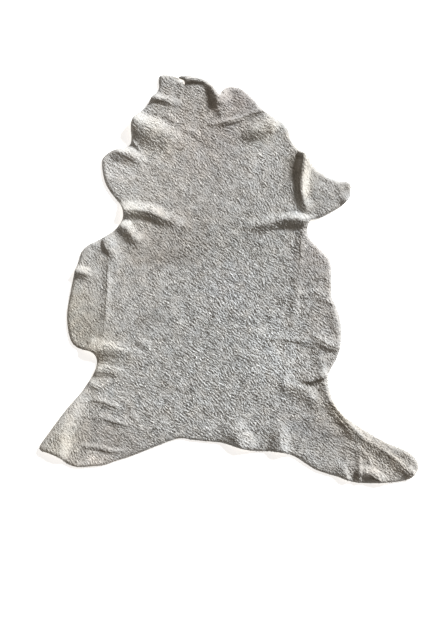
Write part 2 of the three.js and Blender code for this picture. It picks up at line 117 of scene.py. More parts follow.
# The folds. left and right are the widths of the flanks, crisp how sharp the crest is; the
# crest is a row of x, y and rise.
FOLDS = [
    ("neck_rim", 8, 14, 0.6, [(-125, 513, 3), (-104, 517, 6.5), (-84, 518, 6.5), (-63, 513, 5), (-45, 497, 2.5)]),
    ("neck_pleat", 42, 21, 0.55, [(-40, 498, 9), (-32, 473, 14), (-28, 446, 5)]),
    ("nape_left", 18, 14, 0.55, [(-208, 474, 8), (-180, 468, 6.5), (-137, 457, 2.5)]),
    ("neck_left_fold", 35, 62, 0.2, [(-256, 419, 20), (-225, 399, 17), (-185, 387, 11), (-151, 369, 5), (-113, 343, 1)]),
    ("slit_left", 8, 8, 0.65, [(-253, 364, 3), (-242, 351, 2.5), (-232, 335, 1)]),
    ("ear_left", 22, 31, 0.6, [(-304, 348, 4), (-282, 329, 8.4), (-255, 322, 7), (-229, 303, 2)]),
    ("crop_line", 14, 10, 0.8, [(-41, 398, 1.2), (2, 409, 6.5), (41, 419, 2.7), (69, 432, 5.3), (99, 442, 3)]),
    ("nape_hollow", 33, 29, 0.35, [(29, 372, 1.4), (64, 381, 8.2), (106, 399, 9.1)]),
    ("fin_fold", 25, 22, 0.8, [(196, 326, 19), (192, 296, 18), (188, 265, 13), (187, 237, 11.5), (191, 209, 9.5), (200, 183, 5), (204, 166, 0)]),
    ("fin_tip", 20, 16, 0.5, [(308, 200, 6.5), (296, 215, 3), (287, 239, 1.6)]),
    ("waist_right_fold", 27, 23, 0.5, [(208, 149, 7), (184, 153, 14), (156, 154, 14), (124, 152, 9.5), (87, 142, 8), (35, 128, 0)]),
    ("waist_left_fold", 29, 28, 0.65, [(-279, 175, 15.9), (-242, 178, 12), (-206, 173, 10.2), (-175, 160, 9), (-124, 137, 3.2)]),
    ("waist_left_low", 25, 27, 0.7, [(-285, 142, 9.6), (-266, 132, 8.8), (-250, 110, 7.6), (-225, 95, 1)]),
    ("belly_left_top", 34, 13, 0.2, [(-320, 116, 3), (-318, 86, 7.3), (-304, 60, 3.6), (-306, 27, 1.8)]),
    ("belly_left_line", 15, 16, 0.8, [(-314, 60, 1.8), (-316, -16, 3.6), (-321, -81, 2.2), (-328, -148, 1.4)]),
    ("belly_left_wedge", 21, 23, 0.6, [(-402, 21, 11), (-380, 18, 8), (-358, 10, 1.5)]),
    ("belly_left_notch", 15, 12, 0.6, [(-363, 102, 2.6), (-347, 85, 1.4), (-330, 74, 0.6)]),
    ("flank_left_one", 24, 33, 0.5, [(-370, -189, 12), (-325, -181, 10), (-284, -186, 5.6), (-242, -197, 1)]),
    ("flank_left_two", 17, 20, 0.05, [(-346, -238, 5), (-315, -238, 4.3), (-278, -242, 1)]),
    ("flank_left_three", 26, 13, 0.35, [(-365, -265, 2.7), (-349, -277, 2.7), (-330, -279, 1.1)]),
    ("leg_left_ridge", 28, 83, 0, [(-372, -285, 1), (-396, -319, 4.4), (-412, -362, 6.6), (-431, -407, 9), (-447, -463, 9)]),
    ("leg_left_arc", 16, 18, 0.75, [(-365, -319, 0.6), (-338, -317, 2.6), (-312, -324, 3.6), (-277, -341, 1)]),
    ("leg_left_arc_low", 23, 14, 0.8, [(-328, -362, 1.5), (-297, -371, 4.2), (-268, -379, 2.5)]),
    ("leg_left_hem", 8, 13, 0.75, [(-372, -432, 2.6), (-335, -438, 1.8), (-299, -447, 3.4), (-266, -446, 1.5)]),
    ("rump_one", 49, 47, 0.4, [(17, -373, 2), (18, -400, 9), (30, -434, 10)]),
    ("rump_two", 26, 42, 0.3, [(136, -363, 1), (134, -403, 9), (136, -450, 10.5)]),
    ("belly_right_line", 15, 21, 0.25, [(191, 122, 4.1), (184, 44, 1.4), (176, -34, 2.7), (164, -133, 1), (154, -200, 0.4), (147, -273, 3.8)]),
    ("belly_right_cut", 33, 17, 0.6, [(210, -144, 1), (245, -168, 7.3), (289, -181, 3)]),
    ("belly_right_seam", 20, 13, 0.35, [(76, -149, 0.8), (143, -157, 1.6), (195, -164, 2.4), (241, -184, 2.7)]),
    ("flank_right_cut", 33, 14, 0.7, [(183, -258, 0), (215, -264, 7.3), (246, -247, 5.3)]),
    ("flank_right_arc", 30, 31, 0.65, [(122, -288, 0), (174, -286, 5.8), (203, -298, 5.3), (226, -322, 3.7)]),
    ("leg_right_rim", 16, 25, 0.6, [(242, -252, 3.8), (258, -306, 4), (286, -348, 6), (319, -391, 6.2), (361, -423, 5.4), (413, -454, 4.2), (455, -486, 3.6), (478, -504, 4.5)]),
    ("leg_right_wedge", 21, 23, 0.6, [(343, -503, 8), (361, -503, 11), (379, -511, 10), (403, -528, 5)]),
    ("leg_right_low", 15, 27, 0.35, [(283, -469, 0), (296, -493, 4), (306, -522, 6)]),
    ("neck_mid", 14, 18, 0.2, [(-190, 437, 0), (-156, 420, 2.6), (-120, 394, 0.7), (-85, 378, 2.4)]),
    ("leg_right_mid", 12, 24, 0.7, [(383, -439, 0), (418, -460, 1.7), (447, -487, 2.6), (475, -504, 4.5)]),
    ("leg_right_fine", 9, 11, 0.55, [(335, -435, 0.9), (362, -464, 1.6), (377, -501, 1.6)]),
    ("leg_left_outer", 9, 13, 0.65, [(-320, -305, 0.6), (-273, -316, 1), (-247, -351, 1), (-229, -391, 0.8)]),
    ("belly_left_foot", 16, 24, 0.2, [(-357, -169, 5.2), (-329, -163, 4.1), (-306, -149, 0)]),
    ("flank_left_tail", 19, 13, 0.2, [(-266, -170, 0.6), (-227, -168, 1.8), (-201, -196, 0.8)]),
    ("belly_right_top", 24, 11, 0.3, [(143, -38, 1), (195, -45, 1.3), (232, -46, 1.8), (270, -66, 1.3)]),
    ("belly_right_edge", 8, 22, 0.35, [(269, -76, 1.1), (278, -112, 3), (280, -153, 1.2)]),
    ("flank_right_top", 15, 24, 0.75, [(231, -193, 2.1), (242, -222, 1.5), (246, -252, 3.2)]),
    ("leg_right_ridge", 6, 16, 0.6, [(334, -426, 0.5), (339, -458, 1.6), (340, -489, 2.2), (340, -523, 3.4)]),
]

# Sharp creases and the shade at the foot of the folds, the shade painted into the wool's colour a little warmer:
# half width, how deep the wool parts, the painted shade's tone there, and the line.
# Rows that part the wool by nothing are painted shade alone.
CREASES = [
    ("crop_line", 2.4, 1.4, 0.58, [(-55, 396), (-29, 400), (-11, 404), (15, 412), (36, 418), (59, 426), (87, 434)]),
    ("rim_gap", 3.0, 2.4, 0.24, [(-142, 524), (-129, 521), (-116, 518)]),
    ("rim_lens", 4.0, 1.6, 0.62, [(-112, 508), (-99, 510), (-84, 510), (-68, 508)]),
    ("pleat_pocket", 11.0, 0.0, 0.66, [(-54, 489), (-51, 473), (-43, 454)]),
    ("nape_crease", 2.6, 1.0, 0.70, [(-195, 464), (-182, 461), (-169, 460)]),
    ("fin_foot", 3.2, 0.6, 0.72, [(192, 320), (187, 294), (183, 263), (182, 237), (186, 211), (195, 187)]),
    ("fin_shade", 9.0, 0.0, 0.82, [(179, 315), (176, 283), (175, 252), (179, 221), (187, 195)]),
    ("fin_top", 7.0, 0.0, 0.62, [(165, 314), (176, 317), (188, 318)]),
    ("fin_top_soft", 10.0, 0.0, 0.66, [(160, 309), (163, 291)]),
    ("waist_right_foot", 2.2, 0.8, 0.66, [(137, 148), (163, 149), (184, 149), (200, 147)]),
    ("waist_right_shade", 8.0, 0.0, 0.80, [(135, 140), (163, 141), (189, 140)]),
    ("waist_left_foot", 2.6, 0.8, 0.72, [(-272, 174), (-247, 174), (-219, 171), (-190, 161), (-162, 146)]),
    ("waist_left_shade", 7.0, 0.0, 0.84, [(-271, 166), (-245, 166), (-216, 161), (-188, 149)]),
    ("rim_foot", 4.6, 1.4, 0.56, [(262, -324), (282, -350), (304, -374), (325, -400), (343, -418), (364, -430)]),
    ("rim_streak", 4.0, 0.9, 0.70, [(364, -430), (392, -446), (423, -468), (452, -490)]),
    ("rim_streak_high", 1.8, 0.7, 0.80, [(387, -432), (421, -452), (455, -478), (473, -497)]),
    ("rim_patch", 7.0, 0.0, 0.80, [(266, -328), (274, -343)]),
    ("rim_patch_low", 8.0, 0.0, 0.84, [(273, -373), (286, -376), (301, -387)]),
    ("wedge_shade", 7.0, 0.4, 0.60, [(351, -516), (369, -517), (387, -523)]),
    ("ridge_foot", 2.0, 0.2, 0.92, [(331, -434), (334, -463), (334, -491), (334, -517)]),
    ("hem_low", 2.2, 0.8, 0.80, [(-133, -404), (-91, -408), (-50, -414), (-8, -421)]),
    ("rump_shade", 4.4, 0.6, 0.76, [(-13, -408), (2, -415), (20, -423)]),
    ("belly_left_crease", 2.0, 0.9, 0.72, [(-316, 68), (-318, 23), (-320, -29), (-324, -86), (-327, -135)]),
    ("belly_right_crease", 2.0, 0.7, 0.82, [(185, 125), (182, 75), (180, 29), (178, -5)]),
    ("belly_right_low", 2.0, 0.7, 0.86, [(175, -44), (215, -42), (265, -48)]),
    ("seam_low", 2.1, 0.9, 0.72, [(98, -162), (135, -159), (171, -166), (218, -171)]),
    ("seam_side", 2.6, 1.2, 0.58, [(221, -152), (249, -169), (282, -182)]),
    ("arc_low", 2.3, 0.9, 0.70, [(127, -292), (158, -289), (189, -290), (208, -300)]),
    ("flank_right_crease", 3.0, 1.2, 0.60, [(192, -271), (218, -268), (244, -260)]),
    ("flank_right_side", 2.0, 0.6, 0.82, [(218, -211), (234, -231), (247, -254)]),
    ("leg_left_crease", 2.4, 1.0, 0.64, [(-365, -321), (-344, -320), (-323, -325), (-302, -333), (-277, -344)]),
    ("leg_left_low", 2.2, 1.0, 0.66, [(-328, -365), (-302, -373), (-268, -383)]),
    ("hem_left", 2.1, 0.8, 0.70, [(-372, -442), (-344, -446), (-310, -450), (-281, -451)]),
    ("flank_left_crease", 2.2, 0.8, 0.78, [(-344, -244), (-325, -245), (-307, -248)]),
    ("wedge_foot", 3.0, 0.6, 0.74, [(-398, 14), (-380, 10), (-364, 4)]),
    ("ear_foot", 3.0, 0.6, 0.80, [(-305, 328), (-279, 320), (-253, 305), (-232, 294)]),
]

# Which way the wool lies, in degrees from +X, and how deep its relief, by place.
#        x     y   reach  angle  depth
NAP = [
    (-90, 440, 120, -34, 0.92),
    (60, 400, 110, -30, 0.86),
    (-190, 250, 120, -40, 0.75),
    (-60, 270, 110, -52, 0.84),
    (120, 260, 110, -60, 0.95),
    (-330, 60, 90, -66, 0.72),
    (-230, 60, 110, -50, 0.72),
    (-60, 60, 120, -44, 1.05),
    (110, 60, 120, -50, 1.10),
    (240, 20, 80, -56, 0.92),
    (245, 245, 55, -50, 0.72),
    (200, 262, 24, -60, 0.30),
    (-370, -80, 100, -64, 0.70),
    (-190, -90, 120, -44, 0.92),
    (-20, -110, 120, -46, 1.28),
    (150, -120, 120, -44, 1.20),
    (250, -140, 90, -36, 1.02),
    (-300, -260, 100, -36, 0.95),
    (-150, -260, 110, -40, 1.20),
    (0, -260, 120, -42, 1.35),
    (150, -260, 110, -45, 1.28),
    (-400, -400, 100, -70, 0.78),
    (-290, -400, 90, -28, 0.90),
    (-120, -380, 100, -42, 1.30),
    (60, -400, 110, -36, 1.20),
    (230, -400, 110, -34, 1.02),
    (400, -480, 110, -42, 1.05),
]

# Patches where the wool is lighter, darker, warmer or cooler than its plain grey, some of them painted
# # highlights on the lit flanks of folds and painted shade beside them, in the order they are laid:
# # middle, half widths, turn, then red, green and blue.
TINTS = [
    ("all_over", 0, 0, 900, 900, 0, 0.990, 0.985, 0.965),
    ("back_cool", 20, -120, 190, 300, 0, 1.01, 1.03, 1.05),
    ("nape", -60, 430, 130, 90, 0, 1.04, 1.01, 0.98),
    ("neck", -70, 330, 100, 110, 0, 0.95, 0.93, 0.93),
    ("nape_right", 30, 470, 60, 40, 0, 0.98, 0.93, 0.92),
    ("shoulder", -160, 300, 110, 120, 0, 1.06, 1.04, 1.02),
    ("withers", -120, 130, 90, 70, 0, 0.94, 0.91, 0.89),
    ("withers_left", -230, 90, 60, 110, 0, 0.98, 0.95, 0.92),
    ("withers_right", -30, 110, 110, 50, 0, 0.92, 0.92, 0.91),
    ("belly_left", -390, -90, 70, 130, 0, 0.96, 0.93, 0.88),
    ("belly_left_low", -340, -200, 60, 60, 0, 1.02, 0.99, 0.93),
    ("foot_left", -440, -430, 70, 60, 0, 1.09, 1.06, 0.99),
    # painted highlight on the lit crest of the left leg's ridge
    ("leg_left_painted_highlight", -400, -360, 40, 110, -18, 1.20, 1.18, 1.15),
    ("leg_left", -300, -420, 90, 60, 0, 0.88, 0.85, 0.83),
    # painted highlight on the lit hem of the left leg
    ("hem_left_painted_highlight", -350, -478, 54, 24, 0, 1.46, 1.42, 1.39),
    ("belly_right", 270, -80, 60, 130, 0, 0.98, 0.96, 0.95),
    ("fore_right", 240, 80, 60, 60, 0, 1.01, 0.97, 0.96),
    ("leg_right", 300, -370, 60, 120, 38, 0.98, 0.94, 0.89),
    ("foot_right", 430, -480, 90, 60, 0, 0.95, 0.91, 0.86),
    ("fin_root", 190, 300, 40, 70, 0, 1.02, 0.99, 0.95),
    # painted highlight on the lit ridge of the right fore flap's fold
    ("fin_ridge_painted_highlight", 199, 256, 15, 52, 0, 1.30, 1.27, 1.21),
    ("nape_seam", 70, 375, 40, 30, 0, 0.94, 0.93, 0.90),
    ("nape_pale", 110, 394, 30, 28, 0, 1.38, 1.36, 1.32),
    # painted shade at the nape
    ("nape_painted_shade", 45, 470, 60, 45, -30, 0.86, 0.87, 0.89),
    ("flank_spot", -200, -107, 34, 26, 0, 0.78, 0.78, 0.78),
    ("belly_left_rim", -420, -100, 40, 90, 0, 1.06, 1.05, 1.01),
    # painted shade where the left belly's lower edge turns down
    ("belly_left_painted_shade", -350, -132, 56, 48, 0, 0.84, 0.83, 0.81),
    # painted highlight on the lit flank of the left ear's fold
    ("shoulder_painted_highlight", -292, 288, 58, 50, 0, 1.30, 1.30, 1.31),
    # painted highlight on the lit side of the left neck fold's end
    ("shoulder_line_painted_highlight", -180, 342, 62, 26, -12, 1.20, 1.20, 1.18),
    ("neck_pale", 78, 314, 48, 38, 0, 1.22, 1.23, 1.24),
    # painted highlight on the lit flank of the left waist fold
    ("waist_left_painted_highlight", -255, 172, 46, 38, 0, 1.20, 1.21, 1.20),
    # painted shade below the left waist fold
    ("waist_left_painted_shade", -150, 62, 90, 30, 0, 0.78, 0.76, 0.74),
    ("waist_right_dark", 192, 20, 34, 48, 0, 0.83, 0.82, 0.82),
    ("loin_right_pale", 122, -195, 62, 90, 18, 1.24, 1.26, 1.28),
    ("loin_pale", 0, -20, 60, 50, 0, 1.08, 1.08, 1.10),
    ("leg_left_dark", -368, -392, 36, 56, 0, 0.78, 0.77, 0.76),
    ("hem_left_dark", -232, -440, 60, 22, 20, 0.88, 0.88, 0.88),
    ("leg_right_dark", 190, -385, 60, 30, -30, 0.83, 0.83, 0.84),
    ("leg_right_dark_low", 262, -402, 52, 28, -35, 0.82, 0.82, 0.83),
    # painted shade on the right leg's wedge, the flank turned from the light
    ("wedge_painted_shade", 326, -498, 22, 22, 0, 0.80, 0.78, 0.76),
    # painted highlight along the lit rim of the right leg
    ("foot_right_painted_highlight", 382, -460, 70, 18, -35, 1.20, 1.20, 1.20),
    # painted highlight on the lit side of the left neck fold
    ("neck_left_painted_highlight", -212, 396, 60, 26, -22, 1.10, 1.10, 1.08),
    ("nape_seam_dark", -8, 385, 40, 60, 0, 0.91, 0.90, 0.91),
    ("foot_left_dark", -400, -470, 28, 22, 0, 0.78, 0.77, 0.76),
    # painted highlight on the lit side of the right leg's rim
    ("rim_right_painted_highlight", 286, -350, 28, 20, -40, 1.34, 1.32, 1.28),
    ("rim_right_dark", 402, -432, 40, 14, -35, 0.84, 0.83, 0.82),
    # painted shade on the shaded side of the right fore flap's fold
    ("fin_side_painted_shade", 160, 262, 20, 58, 0, 0.84, 0.83, 0.82),
    ("fin_tip", 302, 238, 26, 34, 0, 0.84, 0.83, 0.82),
    ("fin_inner", 218, 212, 26, 26, 0, 0.90, 0.90, 0.90),
    ("nape_edge", 134, 426, 28, 50, 38, 0.78, 0.78, 0.78),
    ("fin_pale", 260, 244, 26, 30, 0, 1.10, 1.10, 1.11),
]

# ---- fields on a one millimetre net ---------------------------------------------------------
LOW_X, LOW_Y, WIDE, HIGH = -520, -560, 1041, 1121
net_x = LOW_X + np.arange(WIDE, dtype=float)
net_y = LOW_Y + np.arange(HIGH, dtype=float)
NET_X, NET_Y = np.meshgrid(net_x, net_y)


def spline(points, closed, parts=24):
    """A centripetal Catmull-Rom curve through the points."""
    p = np.array(points, float)
    if closed:
        p = np.vstack([p[-1:], p, p[:2]])
    else:
        p = np.vstack([2 * p[0] - p[1], p, 2 * p[-1] - p[-2]])
    made = []
    for a, b, c, d in zip(p[:-3], p[1:-2], p[2:-1], p[3:]):
        t0 = 0.0
        t1 = t0 + max(np.linalg.norm(b - a), 1e-4) ** 0.5
        t2 = t1 + max(np.linalg.norm(c - b), 1e-4) ** 0.5
        t3 = t2 + max(np.linalg.norm(d - c), 1e-4) ** 0.5
        t = np.linspace(t1, t2, parts, endpoint=False)[:, None]
        ab = (t1 - t) / (t1 - t0) * a + (t - t0) / (t1 - t0) * b
        bc = (t2 - t) / (t2 - t1) * b + (t - t1) / (t2 - t1) * c
        cd = (t3 - t) / (t3 - t2) * c + (t - t2) / (t3 - t2) * d
        abc = (t2 - t) / (t2 - t0) * ab + (t - t0) / (t2 - t0) * bc
        bcd = (t3 - t) / (t3 - t1) * bc + (t - t1) / (t3 - t1) * cd
        made.append((t2 - t) / (t2 - t1) * abc + (t - t1) / (t2 - t1) * bcd)
    if not closed:
        made.append(p[-2:-1])
    return np.vstack(made)


def evenly(loop, step):
    """Points a step apart round a closed curve."""
    loop = np.vstack([loop, loop[:1]])
    along = np.concatenate([[0], np.cumsum(np.linalg.norm(np.diff(loop, axis=0), axis=1))])
    at = np.linspace(0, along[-1], int(round(along[-1] / step)), endpoint=False)
    return np.stack([np.interp(at, along, loop[:, k]) for k in (0, 1)], 1)


landmarks = [p for stretch in OUTLINE.values() for p in stretch]
edge = spline(landmarks, True)
middle = (edge.min(0) + edge.max(0)) / 2
edge = edge - middle


def sample(field, x, y):
    """A field's value at any point, between the net's."""
    fx = np.clip(np.asarray(x) - LOW_X, 0, WIDE - 1.001)
    fy = np.clip(np.asarray(y) - LOW_Y, 0, HIGH - 1.001)
    ix, iy = fx.astype(int), fy.astype(int)
    u, v = fx - ix, fy - iy
    return (
        field[iy, ix] * (1 - u) * (1 - v)
        + field[iy, ix + 1] * u * (1 - v)
        + field[iy + 1, ix] * (1 - u) * v
        + field[iy + 1, ix + 1] * u * v
    )


def inside_net():
    """True where a point of the net is on the hide."""
    found = np.zeros((HIGH, WIDE), bool)
    a, b = edge, np.roll(edge, -1, 0)
    for row, y in enumerate(net_y + 1e-6):
        cut = (a[:, 1] > y) != (b[:, 1] > y)
        if not cut.any():
            continue
        x = np.sort(
            a[cut, 0] + (y - a[cut, 1]) / (b[cut, 1] - a[cut, 1]) * (b[cut, 0] - a[cut, 0])
        )
        for start, end in zip(x[::2], x[1::2]):
            found[row, int(math.ceil(start - LOW_X)) : int(math.floor(end - LOW_X)) + 1] = True
    return found


def edge_net(reach=32):
    """Distance to the cut edge, up to reach, and its sign: positive on the hide."""
    far = np.full((HIGH, WIDE), float(reach))
    for x, y in evenly(edge, 1.0):
        ix, iy = int(round(x)) - LOW_X, int(round(y)) - LOW_Y
        rows = slice(max(iy - reach, 0), iy + reach + 1)
        cols = slice(max(ix - reach, 0), ix + reach + 1)
        near = np.hypot(NET_X[rows, cols] - x, NET_Y[rows, cols] - y)
        np.minimum(far[rows, cols], near, out=far[rows, cols])
    return np.where(on_hide, far, -far)


def lift_net():
    """Height of the hide over the floor, made of the folds' crests and flanks."""
    lift = np.zeros((HIGH, WIDE))
    for _, left, right, crisp, crest in FOLDS:
        line = spline([(x - middle[0], y - middle[1], rise) for x, y, rise in crest], False, 12)
        reach = max(left, right) + 1
        cols = slice(
            max(int(line[:, 0].min() - reach) - LOW_X, 0), int(line[:, 0].max() + reach) - LOW_X + 1
        )
        rows = slice(
            max(int(line[:, 1].min() - reach) - LOW_Y, 0), int(line[:, 1].max() + reach) - LOW_Y + 1
        )
        x, y = NET_X[rows, cols], NET_Y[rows, cols]
        far = np.full(x.shape, 1e9)
        side, rise = np.zeros(x.shape), np.zeros(x.shape)
        for a, b in zip(line[:-1], line[1:]):
            ux, uy = b[0] - a[0], b[1] - a[1]
            t = np.clip(((x - a[0]) * ux + (y - a[1]) * uy) / (ux * ux + uy * uy), 0, 1)
            dx, dy = x - a[0] - ux * t, y - a[1] - uy * t
            d = np.hypot(dx, dy)
            closer = d < far
            far[closer] = d[closer]
            side[closer] = (ux * dy - uy * dx)[closer]
            rise[closer] = (a[2] + (b[2] - a[2]) * t)[closer]
        u = np.clip(far / np.where(side > 0, left, right), 0, 1)
        shape = (1 - crisp) * 0.5 * (1 + np.cos(np.pi * u)) + crisp * (1 - np.sin(np.pi * u / 2))
        lift[rows, cols] += np.maximum(rise, 0) * shape
    return soften(lift, 1.3)


def crease_net():
    """Grooves and shaded folds of the wool: how much lower it lies, and the painted shade that darkens its tone."""
    low, tone = np.zeros((HIGH, WIDE)), np.ones((HIGH, WIDE))
    for _, half, deep, dark, line in CREASES:
        line = spline([(x - middle[0], y - middle[1]) for x, y in line], False, 8)
        part = np.arange(len(line)) / (len(line) - 1)
        fade = np.sin(np.pi * np.clip(part, 0.08, 0.92)) ** 0.35
        cols = slice(int(line[:, 0].min() - 3 * half) - LOW_X, int(line[:, 0].max() + 3 * half) + 1 - LOW_X)
        rows = slice(int(line[:, 1].min() - 3 * half) - LOW_Y, int(line[:, 1].max() + 3 * half) + 1 - LOW_Y)
        x, y = NET_X[rows, cols], NET_Y[rows, cols]
        share = np.zeros(x.shape)
        for a, b, strong in zip(line[:-1], line[1:], fade):
            ux, uy = b - a
            t = np.clip(((x - a[0]) * ux + (y - a[1]) * uy) / (ux * ux + uy * uy), 0, 1)
            far = np.hypot(x - a[0] - ux * t, y - a[1] - uy * t)
            np.maximum(share, strong * np.exp(-((far / half) ** 2)), out=share)
        low[rows, cols] = np.maximum(low[rows, cols], deep * share)
        tone[rows, cols] *= 1 - (1 - dark) * share
    return low, tone


freq_y = np.fft.fftfreq(HIGH)[:, None]
freq_x = np.fft.rfftfreq(WIDE)[None, :]
FREQ = np.hypot(freq_x, freq_y)
WAY = np.arctan2(freq_y, freq_x)


def filtered(field, gain):
    return np.fft.irfft2(np.fft.rfft2(field) * gain, s=(HIGH, WIDE))


def soften(field, sigma):
    return filtered(field, np.exp(-2 * (np.pi * sigma * FREQ) ** 2))


def even_noise(length, spread=0.5):
    """Noise with no direction, whose bumps are about length millimetres apart, of deviation 1."""
    band = np.exp(-0.5 * (np.log(np.maximum(FREQ, 1e-6) * length) / spread) ** 2)
    made = filtered(rng.standard_normal((HIGH, WIDE)), band)
    return made / made.std()


def combed_noise(angle, length, spread=0.35, stray=0.4, ways=12):
    """Noise drawn out along a field of directions, length millimetres apart across them."""
    total, power = np.zeros((HIGH, WIDE)), np.zeros((HIGH, WIDE))
    band = np.exp(-0.5 * (np.log(np.maximum(FREQ, 1e-6) * length) / spread) ** 2)
    for k in range(ways):
        own = np.pi * k / ways  # the strands' direction; the wave runs across it
        off = (WAY - own - np.pi / 2 + np.pi / 2) % np.pi - np.pi / 2
        made = filtered(rng.standard_normal((HIGH, WIDE)), band * np.exp(-0.5 * (off / stray) ** 2))
        turn = (angle - own + np.pi / 2) % np.pi - np.pi / 2
        share = np.exp(-0.5 * (turn / 0.22) ** 2)
        total += made / made.std() * share
        power += share**2
    return total / np.sqrt(power)


def spread_table(rows, column):
    """A smooth field through a table of places with a reach."""
    total, power = np.zeros((HIGH, WIDE)), np.full((HIGH, WIDE), 1e-9)
    for row in rows:
        x, y, reach = row[:3]
        share = np.exp(-0.5 * ((NET_X - x) ** 2 + (NET_Y - y) ** 2) / (0.55 * reach) ** 2) + 1e-7
        total += share * row[column]
        power += share
    return total / power


on_hide = inside_net()
to_edge = edge_net()
lift = lift_net()
slope_y, slope_x = np.gradient(lift)
stretch = np.minimum(np.sqrt(1 + slope_x**2 + slope_y**2), SLOPE_GAIN)
groove, crease_painted_shade = crease_net()

nap = np.radians(spread_table(NAP, 3)) + 0.12 * even_noise(90) + 0.05 * even_noise(36)
patches = even_noise(55, 0.5)
depth = spread_table(NAP, 4) * np.clip(1 + 0.16 * patches, 0.5, 1.5)

worms = combed_noise(nap, 7.4, spread=0.22, stray=0.36)
fine = combed_noise(nap, 4.6, spread=0.3, stray=0.6)
ripples = combed_noise(nap + 0.3, 22.0, spread=0.4, stray=0.5)
lumps = even_noise(24, 0.45)
swells = even_noise(75, 0.4)
EDGE_IN = np.clip(to_edge / 12.0, 0, 1)
relief = depth * (
    RELIEF_WORMS * np.tanh(1.1 * worms)
    + RELIEF_FINE * fine
    + RELIEF_LUMPS * lumps
    + RELIEF_RIPPLES * ripples
) * (0.45 + 0.55 * EDGE_IN) + RELIEF_SWELLS * swells * EDGE_IN

thin = np.sin(np.pi / 2 * np.clip(to_edge / EDGE_BAND, 0, 1))
skin_top = lift + SKIN * stretch
wool_base = lift + (SKIN + UNDERWOOL_EDGE + (UNDERWOOL - UNDERWOOL_EDGE) * thin) * stretch
wool_base = wool_base + np.maximum(relief - groove, -(UNDERWOOL_EDGE + 0.4)) * stretch

base_y, base_x = np.gradient(soften(wool_base, 1.0))

tint = np.ones((HIGH, WIDE, 3))
for name, x, y, rx, ry, turn, *colour in TINTS:
    c, s = math.cos(math.radians(turn)), math.sin(math.radians(turn))
    u = ((NET_X - x) * c + (NET_Y - y) * s) / rx
    v = (-(NET_X - x) * s + (NET_Y - y) * c) / ry
    share = np.exp(-(u * u + v * v))[..., None]
    tint *= 1 + (np.array(colour) - 1) * share
# painted shade: the creases darken the wool, a little warmer, in the grooves and at the foot of the folds
tint *= (crease_painted_shade[..., None] ** np.array([0.94, 1.0, 1.12]))
blotch = even_noise(38, 0.5)
warmth = even_noise(60, 0.5)
# random blotches of the wool's own tone, and painted light and shade that follow the relief: lighter on the lumps
# and the worms' ridges, darker in their troughs
tint *= (1 + 0.035 * blotch + 0.03 * lumps + 0.05 * depth * np.clip(worms, -2, 2))[..., None]
tint *= 1 + warmth[..., None] * np.array([0.007, 0.0, -0.008])


# ---- the hide -------------------------------------------------------------------------------
def lattice(gap, from_edge):
    rows = int(2 * 560 / (gap * 0.866)) + 1
    cols = int(2 * 520 / gap) + 1
    i, j = np.meshgrid(np.arange(rows), np.arange(cols), indexing="ij")
    x = LOW_X + (j + 0.5 * (i % 2)) * gap
    y = LOW_Y + i * gap * 0.866
    x = x + rng.uniform(-0.12, 0.12, x.shape) * gap
    y = y + rng.uniform(-0.12, 0.12, y.shape) * gap
    x, y = x.ravel(), y.ravel()
    keep = (x > LOW_X + 2) & (x < -LOW_X - 2) & (y > LOW_Y + 2) & (y < -LOW_Y - 2)
    x, y = x[keep], y[keep]
    keep = sample(to_edge, x, y) > from_edge
    return np.stack([x[keep], y[keep]], 1)


def face_of(loop, gap, from_edge):
    """Triangles over the inside of a loop: the loop's own points first, then the inner ones."""
    inner = lattice(gap, from_edge)
    points = np.vstack([loop, inner])
    n = len(loop)
    got = delaunay_2d_cdt(
        [(float(x), float(y)) for x, y in points],
        [(i, (i + 1) % n) for i in range(n)],
        [list(range(n))],
        1,
        1e-5,
    )
    verts, faces, sources = got[0], got[2], got[3]
    order = np.array([s[0] if s else -1 for s in sources])
    if len(verts) != len(points) or (order < 0).any():
        raise RuntimeError("the net of the hide added points of its own")
    tri = order[np.array(faces)]
    a, b, c = points[tri[:, 0]], points[tri[:, 1]], points[tri[:, 2]]
    turn = (b[:, 0] - a[:, 0]) * (c[:, 1] - a[:, 1]) - (b[:, 1] - a[:, 1]) * (c[:, 0] - a[:, 0])
    tri[turn < 0] = tri[turn < 0][:, ::-1]
    return points, tri


def make_mesh(name, verts, tris, smooth=True):
    me = bpy.data.meshes.new(name)
    me.vertices.add(len(verts))
    me.vertices.foreach_set("co", np.asarray(verts, np.float32).ravel())
    me.loops.add(len(tris) * 3)
    me.loops.foreach_set("vertex_index", np.asarray(tris, np.int32).ravel())
    me.polygons.add(len(tris))
    me.polygons.foreach_set("loop_start", np.arange(0, len(tris) * 3, 3, dtype=np.int32))
    me.polygons.foreach_set("use_smooth", np.full(len(tris), smooth))
    me.update(calc_edges=True)
    me.validate()
    return me


def put(name, me):
    ob = bpy.data.objects.new(name, me)
    bpy.context.scene.collection.objects.link(ob)
    return ob


def colour_points(me, name, rgb):
    layer = me.color_attributes.new(name, "FLOAT_COLOR", "POINT")
    rgba = np.concatenate([rgb, np.ones((len(rgb), 1))], 1)
    layer.data.foreach_set("color", rgba.astype(np.float32).ravel())
    me.color_attributes.active_color = layer


def flat_map(me, verts):
    """Seen from above, for the wool and its colours."""
    layer = me.uv_layers.new(name="OFBake")
    at = np.empty(len(me.loops), np.int32)
    me.loops.foreach_get("vertex_index", at)
    uv = (verts[:, :2] / MM - (LOW_X, LOW_Y)) / max(WIDE, HIGH)
    layer.uv.foreach_set("vector", uv[at].astype(np.float32).ravel())


